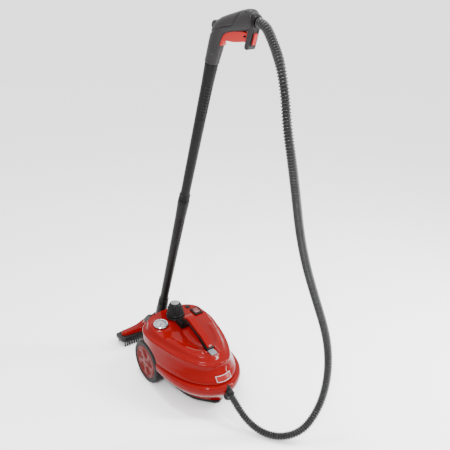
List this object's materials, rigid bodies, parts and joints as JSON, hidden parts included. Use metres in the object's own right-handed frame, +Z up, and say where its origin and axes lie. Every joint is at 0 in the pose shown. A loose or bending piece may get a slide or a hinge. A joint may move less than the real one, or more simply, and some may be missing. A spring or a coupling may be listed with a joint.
{
  "type": "steam mop",
  "caption": "Wheeled canister steam cleaner used as a steam mop: boiler unit with carry handle, ribbed hose, trigger gun, extension tubes and pivoting floor head, parked upright.",
  "frame": {"origin": "on the floor, at the bottom centre of the box round everything but the hose", "axes": "+Z up, +Y to the rear where the floor head stands, -Y to the nose and the hose outlet, +X to the right seen from the front"},
  "size_m": [0.3103, 0.7925, 1.1253],
  "materials": {
    "red_gloss": "glossy red moulded casing",
    "black_matt": "fine textured black plastic",
    "grey_grip": "dark grey textured gun shell",
    "red_trigger": "satin red",
    "hub_red": "dull red hubcap",
    "tyre": "dark moulded tyre",
    "hose_black": "glossy ribbed hose",
    "steel": "steel",
    "chrome": "polished bezel",
    "aluminium": "cast aluminium",
    "dial_white": "printed dial",
    "clear": "clear lens",
    "needle_black": "painted pointer",
    "rocker_red": "translucent red rocker",
    "lens_grey": "textured grey lens",
    "badge": "plain raised plate",
    "bristle": "black nylon tufts",
    "seal": "silicone seal"
  },
  "bodies": {
    "machine": {"lower_casing": "red_gloss", "upper_casing": "red_gloss", "base_tray": "black_matt", "wheel_arch_left": "black_matt", "wheel_arch_right": "black_matt", "wheel_axle": "steel", "boiler": "aluminium", "boiler_neck": "aluminium", "heating_element": "steel", "thermostat": "aluminium", "steam_pipe": "aluminium", "cap_collar": "black_matt", "gauge_case": "black_matt", "gauge_dial": "dial_white", "gauge_bezel": "chrome", "gauge_glass": "clear", "switch_bezel": "black_matt", "indicator_plate": "black_matt", "ready_lens": "lens_grey", "ready_lamp": "clear", "carry_handle": "red_gloss", "handle_grip_underside": "black_matt", "hose_outlet": "black_matt", "badge_plate": "badge", "cord_inlet": "black_matt", "wand_holder": "black_matt", "casing_screws": "steel", "hose": "hose_black"},
    "wheel_left": {"tyre_left": "tyre", "hubcap_left": "hub_red"},
    "wheel_right": {"tyre_right": "tyre", "hubcap_right": "hub_red"},
    "castor": {"castor_fork": "black_matt", "castor_pin": "steel"},
    "castor_roller": {"castor_wheel": "black_matt"},
    "cap_seal": {"cap_gasket": "seal"},
    "cap": {"cap_shell": "black_matt", "cap_disc": "grey_grip", "cap_plug": "black_matt"},
    "needle": {"gauge_needle": "needle_black"},
    "rocker": {"rocker_switch": "rocker_red"},
    "wand": {"upper_tube": "black_matt", "lower_tube": "black_matt", "head_neck": "black_matt", "gun_shell_left": "grey_grip", "gun_shell_right": "grey_grip", "trigger_pin": "steel", "valve_body": "aluminium", "hose_collar": "black_matt", "gun_screws": "black_matt"},
    "trigger": {"trigger": "red_trigger"},
    "trigger_lock": {"trigger_lock": "red_trigger"},
    "button_lower": {"lock_button_lower": "black_matt"},
    "button_middle": {"lock_button_middle": "black_matt"},
    "button_upper": {"lock_button_upper": "black_matt"},
    "yoke": {"head_yoke": "grey_grip", "pitch_pin": "steel"},
    "floor_head": {"head_body": "black_matt", "head_cover": "red_gloss", "head_bristles": "bristle"}
  },
  "joints": [
    {"name": "wheel_left_spin", "type": "hinge", "parent": "machine", "child": "wheel_left", "pos_m": [-0.10193, 0.03914, 0.0714], "axis": [1, 0, 0], "continuous": true},
    {"name": "wheel_right_spin", "type": "hinge", "parent": "machine", "child": "wheel_right", "pos_m": [0.09607, 0.03914, 0.0714], "axis": [1, 0, 0], "continuous": true},
    {"name": "castor_swivel", "type": "hinge", "parent": "machine", "child": "castor", "pos_m": [-0.00293, -0.12586, 0.042], "axis": [0, 0, 1], "continuous": true},
    {"name": "castor_roll", "type": "hinge", "parent": "castor", "child": "castor_roller", "pos_m": [-0.00293, -0.11686, 0.014], "axis": [1, 0, 0], "continuous": true},
    {"name": "cap_lift", "type": "slide", "parent": "machine", "child": "cap_seal", "axis": [0, 0, 1], "range_m": [0, 0.0095]},
    {"name": "cap_turn", "type": "hinge", "parent": "cap_seal", "child": "cap", "pos_m": [-0.00293, 0.03564, 0.2], "axis": [0, 0, 1], "range_deg": [0, 1080]},
    {"name": "gauge_needle_turn", "type": "hinge", "parent": "machine", "child": "needle", "pos_m": [-0.06593, 0.02114, 0.19564], "axis": [0, 0.1191, -0.9929], "range_deg": [0, 270], "stiffness_Nm_per_rad": 0.00005},
    {"name": "power_switch_rock", "type": "hinge", "parent": "machine", "child": "rocker", "pos_m": [0.07007, 0.0252, 0.19562], "axis": [-1, 0, 0], "range_deg": [0, 12]},
    {"name": "wand_lift", "type": "slide", "parent": "machine", "child": "wand", "axis": [0.0075, -0.3342, 0.9425], "range_m": [0, 0.05], "deforming": ["hose"]},
    {"name": "trigger_pull", "type": "hinge", "parent": "wand", "child": "trigger", "pos_m": [0.03162, -0.27179, 1.07069], "axis": [-0.9948, -0.0985, -0.027], "range_deg": [0, 4], "stiffness_Nm_per_rad": 0.6},
    {"name": "trigger_lock_slide", "type": "slide", "parent": "wand", "child": "trigger_lock", "axis": [0.0075, -0.3342, 0.9425], "range_m": [0, 0.007]},
    {"name": "lock_button_lower_press", "type": "slide", "parent": "wand", "child": "button_lower", "axis": [-0.6146, 0.7419, 0.268], "range_m": [0, 0.003], "stiffness_N_per_m": 400},
    {"name": "lock_button_middle_press", "type": "slide", "parent": "wand", "child": "button_middle", "axis": [-0.6146, 0.7419, 0.268], "range_m": [0, 0.003], "stiffness_N_per_m": 400},
    {"name": "lock_button_upper_press", "type": "slide", "parent": "wand", "child": "button_upper", "axis": [-0.6146, 0.7419, 0.268], "range_m": [0, 0.003], "stiffness_N_per_m": 400},
    {"name": "head_pitch", "type": "hinge", "parent": "wand", "child": "yoke", "pos_m": [0.01357, 0.22314, 0.096], "axis": [1, 0, 0], "range_deg": [-30, 55]},
    {"name": "head_roll", "type": "hinge", "parent": "yoke", "child": "floor_head", "pos_m": [0.01357, 0.24718, 0.07196], "axis": [0, 0.7071, -0.7071], "range_deg": [-25, 25]}
  ],
  "couplings": [
    {"joint": "cap_lift", "follows": "cap_turn", "m_per_rad": 0.00047746}
  ]
}
